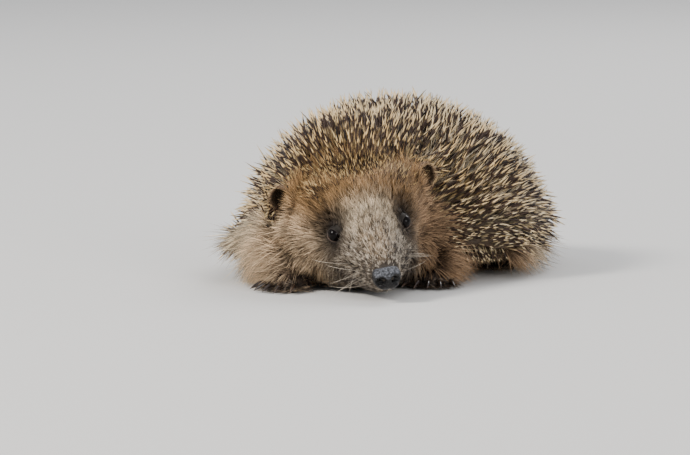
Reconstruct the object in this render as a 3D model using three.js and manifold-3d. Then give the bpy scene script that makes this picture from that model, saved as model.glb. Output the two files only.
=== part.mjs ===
// A life-size European hedgehog, crouching on the floor with its head low and turned to its left.
// Millimetres, +Z up. The animal faces -Y, its left side is towards +X, and z = 0 is the floor.
// The outer surface is that of the coat: it runs through the tips of the spines and of the fur.
import * as THREE from "three";
import { mergeVertices } from "three/addons/utils/BufferGeometryUtils.js";
import Module from "manifold-3d";

const vec = (x, y, z) => new THREE.Vector3(x, y, z);
const { degToRad, lerp } = THREE.MathUtils;
const UP = vec(0, 0, 1);
const RIGHTWARDS = vec(-1, 0, 0);

// How solids that lie side by side keep clear of each other.
const GAP = 0.35;
const ROOMY = 1.08; // a coarsely faceted room is this much larger than what goes in it

// Trunk, and the fur of the right shoulder, which the turn of the head pushes forward.
const TRUNK = { halfWidth: 63.5, front: 50, rear: 82, top: 74, widest: 17, belly: 5 };
const TRUNK_ROUNDNESS = { shoulders: 2, rump: 2.3, back: 1.9, skirt: 3.4 };
const RUFF = { centre: vec(-15, -46, 20), radii: vec(31, 30, 17) };
const BLEND = { head: 15, ruff: 9 }; // how widely head and ruff flow into the trunk

// Head. Its place is halfway between the ear openings, its length runs from there to the nose.
const EARS_MIDDLE = vec(8, -55, 40);
const HEAD = { length: 63, turn: 38, pitch: 29, roll: 11 }; // the turns are in degrees
const HEAD_ENDS = { front: 4, back: 26 }; // how far its rounded ends reach past the sections below

// By distance behind the nose: half width, height to the crown, depth to the throat, how low it is widest.
const HEAD_SECTIONS = [
  { behind: 4, wide: 6, high: 5, deep: 9, low: 0.5 },
  { behind: 12, wide: 9.3, high: 7.4, deep: 15.5, low: 1.5 },
  { behind: 21, wide: 13.4, high: 9.8, deep: 20.5, low: 3.5 },
  { behind: 31, wide: 18.4, high: 13.4, deep: 25.5, low: 5.5 },
  { behind: 46, wide: 27, high: 19, deep: 32, low: 7 },
  { behind: 63, wide: 32.5, high: 23.5, deep: 34.5, low: 7 },
  { behind: 78, wide: 33, high: 22, deep: 34, low: 7 },
];

// Eyes, ears, nose and tail.
const EYE = { radius: 2.8, behindNose: 31, aside: 13.5, up: 1.8 };
const EYE_HOLLOW = { radius: 4.6, out: 4.4, blend: 3 };
const EAR = { width: 13, height: 17, depth: 8, wall: 1.2, behindNose: 61, aside: 29.5, up: 2.5 };
const NOSE = { halfWidth: 5.6, halfHeight: 4.7, halfLength: 5, behind: 1.5 };
const NOSTRIL = { radius: 1.3, length: 2.4, aside: 3.3, down: 0.6, ahead: 2.4 };
const TAIL = { root: vec(0, 62, 17), tip: vec(0, 87, 7), radii: [5, 2.2] };

// Where the furred body is parted. The mouth's slope is in degrees, and so are the neck's turn and lean.
const MOUTH = { down: 6.5, slope: 10, corner: 24 };
const HEAD_CUT = { behindEars: 9, halfWidth: 35, halfHeight: 44 };
const NECK_CUT = { shoulder: vec(-6, -28, 30), turn: 19, lean: 9, halfWidth: 53, halfHeight: 46 };

// Feet. A toe's fan is the angle between neighbours, and a claw droops towards its tip.
const FOREFOOT = {
  palm: { halfLength: 6.4, halfWidth: 5.6, halfHeight: 4.4, raised: 3.6 },
  toe: { length: 8, radius: 2.1, raised: 1.8, fan: 13 },
  claw: { length: 5, radius: 1.15, raised: 2.3, droop: 1.7 },
};
const HINDFOOT = {
  palm: { halfLength: 14.5, halfWidth: 5.6, halfHeight: 4.6, raised: 3.8 },
  toe: { length: 8, radius: 2.2, raised: 1.9, fan: 9 },
  claw: { length: 4.4, radius: 1.1, raised: 2.3, droop: 1.6 },
};
const LIMB_ROOM = { leg: 1.2, foot: 4.5, top: 3 }; // how far the fur stays clear of them

// Each limb's joints from hip or shoulder to the foot, the leg's radii there, and the palm's middle.
const LIMBS = [
  {
    ...{ name: "fore", side: 1, foot: FOREFOOT, turn: 16, palm: vec(37, -43, 0) },
    ...{ joints: [vec(24, -22, 32), vec(33, -24, 20), vec(36, -40, 9)], radii: [8.5, 6.6, 4.6] },
  },
  {
    ...{ name: "fore", side: -1, foot: FOREFOOT, turn: 18, palm: vec(-8, -77, 0) },
    ...{ joints: [vec(-25, -38, 34), vec(-26, -48, 21), vec(-10, -73, 9)], radii: [8.5, 6.6, 4.6] },
  },
  {
    ...{ name: "hind", side: 1, foot: HINDFOOT, turn: 10, palm: vec(37.5, 28, 0) },
    ...{ joints: [vec(30, 30, 35), vec(38, 18, 27), vec(36, 37, 9)], radii: [12, 7.5, 4.8] },
  },
  {
    ...{ name: "hind", side: -1, foot: HINDFOOT, turn: 10, palm: vec(-37.5, 28, 0) },
    ...{ joints: [vec(-30, 30, 35), vec(-38, 18, 27), vec(-36, 37, 9)], radii: [12, 7.5, 4.8] },
  },
];
const SIDES = [["left", 1], ["right", -1]];

const COLOURS = {
  spines: { color: 0x8a7b66, roughness: 0.75 },
  fur: { color: 0x8c7357, roughness: 0.9 },
  skin: { color: 0x4a3d36, roughness: 0.7 },
  nose: { color: 0x2c2a2b, roughness: 0.3 },
  eye: { color: 0x0b0908, roughness: 0.05 },
  claw: { color: 0x3a2a22, roughness: 0.4 },
};

// A direction in the floor's plane that is turned from straight ahead, then tilted down.
function facing(turn, down) {
  const level = Math.cos(degToRad(down));
  const [sin, cos] = [Math.sin(degToRad(turn)), Math.cos(degToRad(turn))];
  return vec(sin * level, -cos * level, -Math.sin(degToRad(down)));
}

// The head's own directions: forward along the snout, to the animal's left, and up through the crown.
const forward = facing(HEAD.turn, HEAD.pitch);
const left = UP.clone().cross(forward).normalize().applyAxisAngle(forward, degToRad(HEAD.roll));
const crown = forward.clone().cross(left);
const headAxes = [forward, left, crown];
const noseTip = EARS_MIDDLE.clone().addScaledVector(forward, HEAD.length);

// A point given by its distance behind the nose, to the animal's left, and towards the crown.
function onHead(behind, aside, up) {
  const point = noseTip.clone().addScaledVector(forward, -behind);
  return point.addScaledVector(left, aside).addScaledVector(crown, up);
}
const nape = onHead(HEAD.length + HEAD_CUT.behindEars, 0, 0);

// One measure of the head between its sections, as a smooth curve.
function sectionAt(behind, measure) {
  const slopeAt = (k) => {
    const before = HEAD_SECTIONS[k - 1];
    const after = HEAD_SECTIONS[k + 1];
    return before && after ? (after[measure] - before[measure]) / (after.behind - before.behind) : 0;
  };
  if (behind <= HEAD_SECTIONS[0].behind) return HEAD_SECTIONS[0][measure];
  const next = HEAD_SECTIONS.findIndex((section) => section.behind > behind);
  if (next < 0) return HEAD_SECTIONS.at(-1)[measure];
  const [a, b] = [HEAD_SECTIONS[next - 1], HEAD_SECTIONS[next]];
  const span = b.behind - a.behind;
  const t = (behind - a.behind) / span;
  const bend = slopeAt(next - 1) * t * (1 - t) ** 2 - slopeAt(next) * t * t * (1 - t);
  return lerp(a[measure], b[measure], t * t * (3 - 2 * t)) + span * bend;
}

// Fields are negative inside, and near a distance in millimetres by the surface.
function headField(p) {
  const d = p.clone().sub(noseTip);
  const behind = -d.dot(forward);
  const low = sectionAt(behind, "low");
  const up = d.dot(crown) + low;
  const wide = sectionAt(behind, "wide");
  const tall = up > 0 ? sectionAt(behind, "high") + low : sectionAt(behind, "deep") - low;
  const ahead = Math.max(0, HEAD_SECTIONS[0].behind - behind) / HEAD_ENDS.front;
  const beyond = Math.max(0, behind - HEAD_SECTIONS.at(-1).behind) / HEAD_ENDS.back;
  return (Math.hypot(d.dot(left) / wide, up / tall, ahead, beyond) - 1) * Math.min(wide, tall);
}

function trunkField(p) {
  const length = p.y < 0 ? TRUNK.front : TRUNK.rear;
  const plan = p.y < 0 ? TRUNK_ROUNDNESS.shoulders : TRUNK_ROUNDNESS.rump;
  const height = p.z > TRUNK.widest ? TRUNK.top - TRUNK.widest : TRUNK.widest - TRUNK.belly;
  const arch = p.z > TRUNK.widest ? TRUNK_ROUNDNESS.back : TRUNK_ROUNDNESS.skirt;
  const level = (Math.abs(p.x / TRUNK.halfWidth) ** plan + Math.abs(p.y / length) ** plan) ** (1 / plan);
  const rise = Math.abs((p.z - TRUNK.widest) / height);
  return ((level ** arch + rise ** arch) ** (1 / arch) - 1) * Math.min(height, TRUNK.halfWidth);
}

function ruffField(p) {
  const d = p.clone().sub(RUFF.centre).divide(RUFF.radii);
  return (d.length() - 1) * RUFF.radii.z;
}

function smoothUnion(a, b, width) {
  const h = Math.max(0, width - Math.abs(a - b)) / width;
  return Math.min(a, b) - (h * h * width) / 4;
}

const eyeCentre = (side) => onHead(EYE.behindNose, side * EYE.aside, EYE.up);
function eyeOutward(side) {
  const outward = left.clone().multiplyScalar(0.84 * side);
  return outward.addScaledVector(forward, 0.46).addScaledVector(crown, 0.28).normalize();
}

// The furred body: trunk, ruff and head in one, hollowed a little round each eye.
function bodyField(p) {
  let field = smoothUnion(trunkField(p), ruffField(p), BLEND.ruff);
  field = smoothUnion(field, headField(p), BLEND.head);
  for (const [, side] of SIDES) {
    const hollow = eyeCentre(side).addScaledVector(eyeOutward(side), EYE_HOLLOW.out);
    field = -smoothUnion(-field, p.distanceTo(hollow) - EYE_HOLLOW.radius, EYE_HOLLOW.blend);
  }
  return field;
}

// How far from a point inside a field its surface lies in a direction.
function reach(field, from, direction) {
  const STEP = 1.5;
  const HALVINGS = 16;
  const at = (distance) => field(from.clone().addScaledVector(direction, distance));
  let far = STEP;
  while (at(far) < 0) far += STEP;
  let near = far - STEP;
  for (let i = 0; i < HALVINGS; i++) {
    const middle = (near + far) / 2;
    if (at(middle) < 0) near = middle;
    else far = middle;
  }
  return near;
}

const wasm = await Module();
wasm.setup();

// A closed three.js geometry as a solid that can be joined and cut.
function solid(geometry) {
  const bare = geometry.clone();
  for (const name of Object.keys(bare.attributes)) if (name !== "position") bare.deleteAttribute(name);
  const merged = mergeVertices(bare, 1e-3);
  const vertProperties = merged.attributes.position.array;
  const triVerts = new Uint32Array(merged.index.array);
  return new wasm.Manifold(new wasm.Mesh({ numProp: 3, vertProperties, triVerts }));
}

// Swells rings out to a field's surface. A ring has a place, an axis and the angle it leans along that axis.
function swell(field, rings, around) {
  const points = [];
  const faces = [];
  const send = (at, direction) => {
    return points.push(at.clone().addScaledVector(direction, reach(field, at, direction)));
  };
  for (const { at, axis, lean, side } of rings) {
    const over = axis.clone().cross(side).normalize();
    const across = over.clone().cross(axis).normalize();
    for (let j = 0; j < around; j++) {
      const turn = (2 * Math.PI * (j + 0.5)) / around;
      const out = across.clone().multiplyScalar(Math.cos(turn)).addScaledVector(over, Math.sin(turn));
      send(at, out.multiplyScalar(Math.cos(lean)).addScaledVector(axis, Math.sin(lean)).normalize());
    }
  }
  const next = (j) => (j + 1) % around;
  for (let i = 0; i + 1 < rings.length; i++) {
    for (let j = 0; j < around; j++) {
      const [a, b] = [i * around + j, i * around + next(j)];
      faces.push(a, b, a + around, b, b + around, a + around);
    }
  }
  const last = (rings.length - 1) * around;
  const startPole = send(rings[0].at, rings[0].axis.clone().negate()) - 1;
  const endPole = send(rings.at(-1).at, rings.at(-1).axis) - 1;
  for (let j = 0; j < around; j++) {
    faces.push(startPole, next(j), j);
    faces.push(endPole, last + j, last + next(j));
  }
  return solid(new THREE.BufferGeometry().setFromPoints(points).setIndex(faces));
}

// Rings along a curve, and more that lean back at its start and forward at its end to round both ends.
function ringsAlong(curve, steps, startCap, endCap, side) {
  const ring = (share, lean) => {
    return { at: curve.getPointAt(share), axis: curve.getTangentAt(share), lean, side };
  };
  const rings = [];
  for (let i = startCap; i > 0; i--) rings.push(ring(0, (-Math.PI / 2) * (i / (startCap + 1))));
  for (let i = 0; i <= steps; i++) rings.push(ring(i / steps, 0));
  for (let i = 1; i <= endCap; i++) rings.push(ring(1, (Math.PI / 2) * (i / (endCap + 1))));
  return rings;
}

// Trunk and neck are swollen round one core, and the head round its own, which stops just behind its cut.
function backSolid() {
  const core = new THREE.CatmullRomCurve3([vec(3, -42, 34), vec(0, -10, 32), vec(0, 20, 31), vec(0, 46, 28)]);
  return swell(bodyField, ringsAlong(core, 9, 4, 5, RIGHTWARDS), 26);
}
function frontSolid() {
  const SPARE = 2.5;
  const ahead = (p) => {
    const d = p.clone().sub(nape);
    const aside = d.dot(left) / (HEAD_CUT.halfWidth + SPARE);
    const over = d.dot(crown) / (HEAD_CUT.halfHeight + SPARE);
    const outside = (Math.hypot(aside, over) - 1) * HEAD_CUT.halfWidth;
    return Math.max(bodyField(p), -d.dot(forward) - SPARE, outside);
  };
  const places = [onHead(6, 0, -1), onHead(31, 0, -2), onHead(54, 0, -4), onHead(74, 0, -4)];
  return swell(ahead, ringsAlong(new THREE.CatmullRomCurve3(places), 13, 3, 0, RIGHTWARDS), 26);
}

// A very large box whose outer face passes through a point; a positive inset draws that face inwards.
function halfSpace(point, outward, inset = 0) {
  const SIZE = 400;
  const turn = new THREE.Quaternion().setFromUnitVectors(UP, outward);
  const centre = point.clone().addScaledVector(outward, -SIZE / 2 - inset);
  const place = new THREE.Matrix4().compose(centre, turn, vec(1, 1, 1));
  return solid(new THREE.BoxGeometry(SIZE, SIZE, SIZE).applyMatrix4(place));
}

// A long oval bar that starts at a point and runs forwards; a positive inset draws all its sides inwards.
function ovalBar(start, axis, { halfWidth, halfHeight }, inset) {
  const LENGTH = 150;
  const across = left.clone().addScaledVector(axis, -left.dot(axis)).normalize();
  const frame = new THREE.Matrix4().makeBasis(across, axis, across.clone().cross(axis));
  const shape = new THREE.CylinderGeometry(1, 1, LENGTH, 20).translate(0, LENGTH / 2 + inset, 0);
  shape.scale(halfWidth - inset, 1, halfHeight - inset);
  return solid(shape.applyMatrix4(frame.setPosition(start)));
}

function ellipsoid(centre, axes, radii, detail) {
  const stretched = axes.map((axis, i) => axis.clone().multiplyScalar(radii[i]));
  const place = new THREE.Matrix4().makeBasis(...stretched).setPosition(centre);
  return solid(new THREE.IcosahedronGeometry(1, detail).applyMatrix4(place));
}
const roomFor = (radii) => radii.map((radius) => radius * ROOMY + GAP);

// A round bar from point to point with rounded ends, whose radius changes evenly from one end to the other.
function bar(from, to, [first, last]) {
  const BEADS = 12;
  const line = new THREE.LineCurve3(from, to);
  const beads = Array.from({ length: BEADS + 1 }, (_, i) => {
    return { at: line.getPointAt(i / BEADS), radius: lerp(first, last, i / BEADS) };
  });
  const field = (p) => Math.min(...beads.map((bead) => p.distanceTo(bead.at) - bead.radius));
  return swell(field, ringsAlong(line, 1, 1, 1, RIGHTWARDS), 8);
}
const tail = (grow) => bar(TAIL.root, TAIL.tip, TAIL.radii.map((radius) => radius + grow));

const eyeRadii = [EYE.radius, EYE.radius, EYE.radius];
const eyeball = (side) => ellipsoid(eyeCentre(side), headAxes, eyeRadii, 2);
const eyeRoom = (side) => ellipsoid(eyeCentre(side), headAxes, roomFor(eyeRadii), 1);

// A cupped ear: a flattened ball hollowed out from its open side.
const earRadii = [EAR.width / 2, EAR.height / 2, EAR.depth / 2];
function earAxes(side) {
  const opening = left.clone().multiplyScalar(0.74 * side).addScaledVector(forward, 0.66).normalize();
  const tall = crown.clone().addScaledVector(forward, -0.3).addScaledVector(left, 0.15 * side);
  tall.addScaledVector(opening, -tall.dot(opening)).normalize();
  return [tall.clone().cross(opening).normalize(), tall, opening];
}
function earCentre(side, out) {
  return onHead(EAR.behindNose, side * EAR.aside, EAR.up).addScaledVector(earAxes(side)[2], out);
}
function ear(side) {
  const axes = earAxes(side);
  const inner = earRadii.map((radius) => radius - EAR.wall);
  const shell = ellipsoid(earCentre(side, 0), axes, earRadii, 2);
  const hollow = ellipsoid(earCentre(side, EAR.depth * 0.25), axes, inner, 2);
  return shell.intersect(halfSpace(earCentre(side, EAR.depth * 0.2), axes[2])).subtract(hollow);
}
// The space an ear takes out of the fur, open towards the outside.
function earRoom(side) {
  const [wide, high, deep] = roomFor(earRadii);
  const mouth = ellipsoid(earCentre(side, EAR.depth * 0.9), earAxes(side), [wide, high, EAR.depth], 1);
  return ellipsoid(earCentre(side, 0), earAxes(side), [wide, high, deep], 1).add(mouth);
}

// The nose pad, with a nostril on each side.
const noseCentre = onHead(NOSE.behind, 0, 0);
const noseRadii = [NOSE.halfLength, NOSE.halfWidth, NOSE.halfHeight];
function nosePad() {
  const nostrilRadii = [NOSTRIL.length, NOSTRIL.radius, NOSTRIL.radius * 1.2];
  const nostril = (side) => onHead(-NOSTRIL.ahead, side * NOSTRIL.aside, -NOSTRIL.down);
  const cut = (pad, [, side]) => pad.subtract(ellipsoid(nostril(side), headAxes, nostrilRadii, 1));
  return SIDES.reduce(cut, ellipsoid(noseCentre, headAxes, noseRadii, 2));
}

// A limb's heading in the floor's plane, turned outwards, and by more degrees for its outer toes.
const heading = (limb, more = 0) => facing(limb.side * limb.turn + more, 0);
const footAxes = (limb) => [heading(limb), UP.clone().cross(heading(limb)), UP];

// Where each of the five toes starts, and where it points. The outer ones are set further back.
function toes(limb) {
  const { palm, toe } = limb.foot;
  return [-2, -1, 0, 1, 2].map((place) => {
    const setBack = Math.abs(place) === 2 ? 3 : Math.abs(place) * 0.6;
    const start = limb.palm.clone().addScaledVector(heading(limb).cross(UP), -place * palm.halfWidth * 0.42);
    start.addScaledVector(heading(limb), palm.halfLength * 0.5 - setBack);
    return { start, ahead: heading(limb, place * toe.fan) };
  });
}

// Puts a shape that was made along +Y on a toe's line, at a distance along it and a height.
function alongToe(geometry, { start, ahead }, distance, height) {
  const place = start.clone().addScaledVector(ahead, distance).setZ(height);
  const frame = new THREE.Matrix4().makeBasis(ahead.clone().cross(UP), ahead, UP);
  return solid(geometry.applyMatrix4(frame.setPosition(place)));
}
function toeSolid(limb, spot) {
  const { length, radius, raised } = limb.foot.toe;
  const profile = [[0, 0], [radius, 0], [radius * 0.8, length], [0, length]];
  const outline = profile.map(([out, along]) => new THREE.Vector2(out, along));
  return alongToe(new THREE.LatheGeometry(outline, 6), spot, 0, raised);
}

// A claw is a cone that bends down towards its tip.
function clawSolid(limb, spot) {
  const { length, radius, droop, raised } = limb.foot.claw;
  const cone = new THREE.ConeGeometry(radius, length, 5, 2).translate(0, length / 2, 0);
  const place = cone.attributes.position;
  for (let i = 0; i < place.count; i++) {
    place.setZ(i, place.getZ(i) - droop * (place.getY(i) / length) ** 2);
  }
  return alongToe(cone, spot, limb.foot.toe.length + GAP, raised);
}

// The foot stands on the floor with its palm and toes, and the leg on the foot.
function palmSolid(limb, grow) {
  const { halfLength, halfWidth, halfHeight, raised } = limb.foot.palm;
  const radii = [halfLength + grow, halfWidth + grow, halfHeight + grow];
  return ellipsoid(limb.palm.clone().setZ(raised), footAxes(limb), radii, 1);
}
function footSolid(limb) {
  const whole = toes(limb).reduce((foot, spot) => foot.add(toeSolid(limb, spot)), palmSolid(limb, 0));
  return whole.intersect(halfSpace(vec(0, 0, 0), UP.clone().negate()));
}
function legBar({ joints, radii }, grow) {
  const [top, middle, end] = radii.map((radius) => radius + grow);
  return bar(joints[0], joints[1], [top, middle]).add(bar(joints[1], joints[2], [middle, end]));
}
const legSolid = (limb) => legBar(limb, 0).subtract(palmSolid(limb, GAP));

// The room that a limb, with its claws, takes out of the fur.
function limbRoom(limb) {
  const { palm, toe, claw } = limb.foot;
  const ahead = (toe.length + claw.length) / 3;
  const spare = [ahead + LIMB_ROOM.foot, LIMB_ROOM.foot, LIMB_ROOM.top];
  const radii = [palm.halfLength, palm.halfWidth, palm.halfHeight].map((radius, i) => radius + spare[i]);
  const centre = limb.palm.clone().addScaledVector(heading(limb), ahead).setZ(palm.raised);
  return ellipsoid(centre, footAxes(limb), radii, 1).add(legBar(limb, LIMB_ROOM.leg));
}

// The furred body is parted by thin cuts at the shoulders, behind the ears and along the mouth.
const headSpace = (inset) => ovalBar(nape, forward, HEAD_CUT, inset);
const neckAxis = facing(NECK_CUT.turn, NECK_CUT.lean);
const neckSpace = (inset) => ovalBar(NECK_CUT.shoulder, neckAxis, NECK_CUT, inset);
function jawSpace(inset) {
  const slope = degToRad(MOUTH.slope);
  const upwards = crown.clone().multiplyScalar(Math.cos(slope)).addScaledVector(forward, Math.sin(slope));
  const below = halfSpace(onHead(0, 0, -MOUTH.down), upwards, inset);
  return below.intersect(halfSpace(onHead(MOUTH.corner, 0, 0), forward.clone().negate(), inset));
}

// It makes room for what grows out of it.
let back = backSolid().subtract(headSpace(-GAP / 2)).subtract(tail(GAP));
let front = frontSolid().intersect(headSpace(GAP / 2));
front = front.subtract(ellipsoid(noseCentre, headAxes, roomFor(noseRadii), 1));
for (const limb of LIMBS) {
  back = back.subtract(limbRoom(limb));
  front = front.subtract(limbRoom(limb));
}
for (const [, side] of SIDES) {
  back = back.subtract(earRoom(side));
  front = front.subtract(earRoom(side)).subtract(eyeRoom(side));
}

const group = new THREE.Group();
function add(name, shape, look) {
  const { vertProperties, triVerts } = shape.getMesh();
  const geometry = new THREE.BufferGeometry();
  geometry.setAttribute("position", new THREE.BufferAttribute(new Float32Array(vertProperties), 3));
  geometry.setIndex(new THREE.BufferAttribute(triVerts, 1));
  geometry.computeVertexNormals();
  const mesh = new THREE.Mesh(geometry, new THREE.MeshStandardMaterial({ ...COLOURS[look], metalness: 0 }));
  mesh.name = name;
  group.add(mesh);
}

add("trunk", back.subtract(neckSpace(-GAP / 2)), "spines");
add("neck", back.intersect(neckSpace(GAP / 2)), "fur");
add("head", front.subtract(jawSpace(-GAP / 2)), "fur");
add("jaw", front.intersect(jawSpace(GAP / 2)), "fur");
add("nose", nosePad(), "nose");
add("tail", tail(0), "skin");
for (const [word, side] of SIDES) {
  add(`eye_${word}`, eyeball(side), "eye");
  add(`ear_${word}`, ear(side), "skin");
}
for (const limb of LIMBS) {
  const word = limb.side > 0 ? "left" : "right";
  add(`${limb.name}leg_${word}`, legSolid(limb), "fur");
  add(`${limb.name}foot_${word}`, footSolid(limb), "skin");
  toes(limb).forEach((spot, i) => add(`${limb.name}claw_${word}_${i + 1}`, clawSolid(limb, spot), "claw"));
}

// The origin is the middle of the footprint, on the floor.
const bounds = new THREE.Box3().setFromObject(group);
group.position.set(-(bounds.min.x + bounds.max.x) / 2, -(bounds.min.y + bounds.max.y) / 2, -bounds.min.z);

export default group;
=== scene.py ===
import math

import bmesh
import bpy
import numpy as np
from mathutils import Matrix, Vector, kdtree


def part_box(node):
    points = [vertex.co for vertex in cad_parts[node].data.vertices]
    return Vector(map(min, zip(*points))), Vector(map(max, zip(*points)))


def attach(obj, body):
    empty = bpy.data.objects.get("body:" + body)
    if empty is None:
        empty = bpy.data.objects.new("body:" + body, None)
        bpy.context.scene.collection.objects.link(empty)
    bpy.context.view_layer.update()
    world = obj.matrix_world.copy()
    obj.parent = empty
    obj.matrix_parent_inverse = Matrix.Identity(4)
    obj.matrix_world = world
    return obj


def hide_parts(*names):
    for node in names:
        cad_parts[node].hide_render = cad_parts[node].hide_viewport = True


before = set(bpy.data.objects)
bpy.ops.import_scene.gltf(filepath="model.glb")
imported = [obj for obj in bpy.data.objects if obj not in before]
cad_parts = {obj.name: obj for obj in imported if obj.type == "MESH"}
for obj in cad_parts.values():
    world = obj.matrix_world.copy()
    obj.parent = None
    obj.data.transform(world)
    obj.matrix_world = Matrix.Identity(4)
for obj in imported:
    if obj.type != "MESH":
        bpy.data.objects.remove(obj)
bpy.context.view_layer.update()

MM = 0.001
chance = np.random.default_rng(seed=11)
SIDES = {"left": 1, "right": -1}
LIMBS = [limb + side for limb in ("fore", "hind") for side in ("_left", "_right")]
BODY = ["trunk", "neck", "head", "jaw", "nose"]
LEGS = [limb.replace("_", "leg_") for limb in LIMBS]
FEET = [limb.replace("_", "foot_") for limb in LIMBS]


def unit(v):
    """Vectors brought to a length of one."""
    return v / np.maximum(np.linalg.norm(v, axis=-1, keepdims=True), 1e-9)


def smooth(low, high, x):
    """Goes softly from 0 at low to 1 at high. High may be the smaller of the two."""
    t = np.clip((x - low) / (high - low), 0, 1)
    return t * t * (3 - 2 * t)


def bell(x, width, power=2):
    """1 at nought, and softly down to 0 on both sides of it."""
    return np.exp(-((x / width) ** power))


def away_from(centre, points):
    return np.linalg.norm(points - centre, axis=1)


def middle(node):
    """The middle of a CAD node's box."""
    low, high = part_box(node)
    return np.array((low + high) / 2) / MM


def srgb(red, green, blue):
    """A colour given by its levels from 0 to 255, as the linear light that a material takes."""
    share = np.array([red, green, blue]) / 255
    return np.where(share <= 0.04045, share / 12.92, ((share + 0.055) / 1.055) ** 2.4)


def into_scene(name, data):
    made = bpy.data.objects.new(name, data)
    bpy.context.scene.collection.objects.link(made)
    return made


# ---- The head's own directions, found from its eyes and nose ----

EYE_ABOVE_AXIS = 1.8
EYE_BEHIND_PAD = 29.5
PAD_BEHIND_TIP = 1.5
EYE_RADIUS = 2.8

eyes = {side: middle("eye_" + side) for side in SIDES}
left = unit(eyes["left"] - eyes["right"])
to_pad = unit(middle("nose") - (eyes["left"] + eyes["right"]) / 2)
tilt = math.atan2(EYE_ABOVE_AXIS, EYE_BEHIND_PAD)
forward = math.cos(tilt) * to_pad + math.sin(tilt) * np.cross(to_pad, left)
crown = np.cross(forward, left)
nose_tip = middle("nose") + forward * PAD_BEHIND_TIP


def head_measures(points):
    """How far points lie behind the nose, to the animal's left, and towards the crown."""
    d = points - nose_tip
    return -(d @ forward), d @ left, d @ crown


def on_head(behind, aside, up):
    """The point that has the given head measures."""
    return nose_tip - forward * behind + left * aside + crown * up


def eye_outward(sign):
    """The way an eye looks."""
    return unit(0.47 * sign * left + 0.72 * forward + 0.3 * crown)


def ear_axes(sign):
    """An ear's directions: across it, up to its tip and out of its opening."""
    opening = unit(0.6 * sign * left + 0.75 * forward + 0.15 * crown)
    tall = crown - 0.3 * forward + 0.15 * sign * left
    tall = unit(tall - opening * (tall @ opening))
    return np.cross(tall, opening), tall, opening


# ---- Meshes as arrays ----

def node_shape(node, swell):
    """A merged copy of a CAD node, grown by a few tenths so that neighbours flow together."""
    shape = bmesh.new()
    shape.from_mesh(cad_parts[node].data)
    bmesh.ops.remove_doubles(shape, verts=shape.verts, dist=1e-6)
    shape.normal_update()
    for vert in shape.verts:
        vert.co += vert.normal * swell * MM
    return shape


def gather(shapes):
    """Joins several bmeshes in one mesh."""
    mesh = bpy.data.meshes.new("gathered")
    whole = bmesh.new()
    for shape in shapes:
        shape.to_mesh(mesh)
        shape.free()
        whole.from_mesh(mesh)
    whole.to_mesh(mesh)
    whole.free()
    return mesh


def remeshed(mesh, voxel):
    """The outer surface of a mesh as even quads."""
    piece = into_scene("remesh", mesh)
    grid = piece.modifiers.new("grid", "REMESH")
    grid.mode = "VOXEL"
    grid.voxel_size = voxel * MM
    view = bpy.context.evaluated_depsgraph_get()
    result = bpy.data.meshes.new_from_object(piece.evaluated_get(view))
    bpy.data.objects.remove(piece)
    bpy.data.meshes.remove(mesh)
    return result


def drop_specks(mesh):
    """Keeps the one big body of a mesh, without the loose specks that a remesh can leave."""
    shape = bmesh.new()
    shape.from_mesh(mesh)
    unsorted, bodies = set(shape.verts), []
    while unsorted:
        body, rim = set(), {unsorted.pop()}
        while rim:
            body |= rim
            rim = {edge.other_vert(vert) for vert in rim for edge in vert.link_edges} - body
        unsorted -= body
        bodies.append(body)
    bodies.sort(key=len)
    bmesh.ops.delete(shape, geom=[vert for body in bodies[:-1] for vert in body], context="VERTS")
    shape.to_mesh(mesh)
    shape.free()


def points_of(mesh):
    """A mesh's points, in millimetres."""
    flat = np.empty(len(mesh.vertices) * 3, np.float32)
    mesh.vertices.foreach_get("co", flat)
    return flat.reshape(-1, 3).astype(float) / MM


def put_points(mesh, points):
    mesh.vertices.foreach_set("co", (points * MM).astype(np.float32).ravel())
    mesh.update()


def edges_of(mesh):
    flat = np.empty(len(mesh.edges) * 2, np.int32)
    mesh.edges.foreach_get("vertices", flat)
    return flat.reshape(-1, 2)


def relax(points, edges, share):
    """Moves each point a share of the way to the mean of its neighbours."""
    count = np.bincount(edges.ravel(), minlength=len(points))
    mean = np.empty_like(points)
    for axis in range(points.shape[1]):
        total = np.bincount(edges[:, 0], points[edges[:, 1], axis], len(points))
        total += np.bincount(edges[:, 1], points[edges[:, 0], axis], len(points))
        mean[:, axis] = total / np.maximum(count, 1)
    return points + (mean - points) * np.reshape(share, (-1, 1))


def normals_of(mesh):
    flat = np.empty(len(mesh.vertices) * 3, np.float32)
    mesh.vertex_normals.foreach_get("vector", flat)
    return flat.reshape(-1, 3).astype(float)


def keep_values(mesh, name, values):
    """Stores one number at each point, for a material to read."""
    layer = mesh.attributes.new(name, "FLOAT", "POINT")
    layer.data.foreach_set("value", values.astype(np.float32))


def keep_colours(mesh, name, colours):
    """Stores one colour at each point, for a material to read."""
    layer = mesh.attributes.new(name, "FLOAT_COLOR", "POINT")
    full = np.ones((len(colours), 4), np.float32)
    full[:, :3] = colours
    layer.data.foreach_set("color", full.ravel())


# ---- Where spines and fur grow ----

def inside(points, centre, radii):
    """1 well inside an oval patch, 0 well outside it."""
    d = np.linalg.norm((points - np.array(centre)) / np.array(radii), axis=1)
    return 1 - smooth(0.9, 1.1, d)


def spiny(points):
    """1 where spines grow: all over the back, down to the skirt of fur, from just before the ears."""
    behind, aside, up = head_measures(points)
    face = ((behind - 22) / 38) ** 4 + (aside / 38) ** 4 + ((up + 6) / 26) ** 4
    fur = 1 - smooth(0.75, 1.3, np.where(behind < 22, np.maximum(face - 2, 0), face))
    fur = np.maximum(fur, inside(points, (-22, -58, 4), (32, 21, 21)))
    fur = np.maximum(fur, inside(points, (34, -54, 0), (22, 24, 30)))
    return (1 - fur) * smooth(9, 16, points[:, 2])


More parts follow.
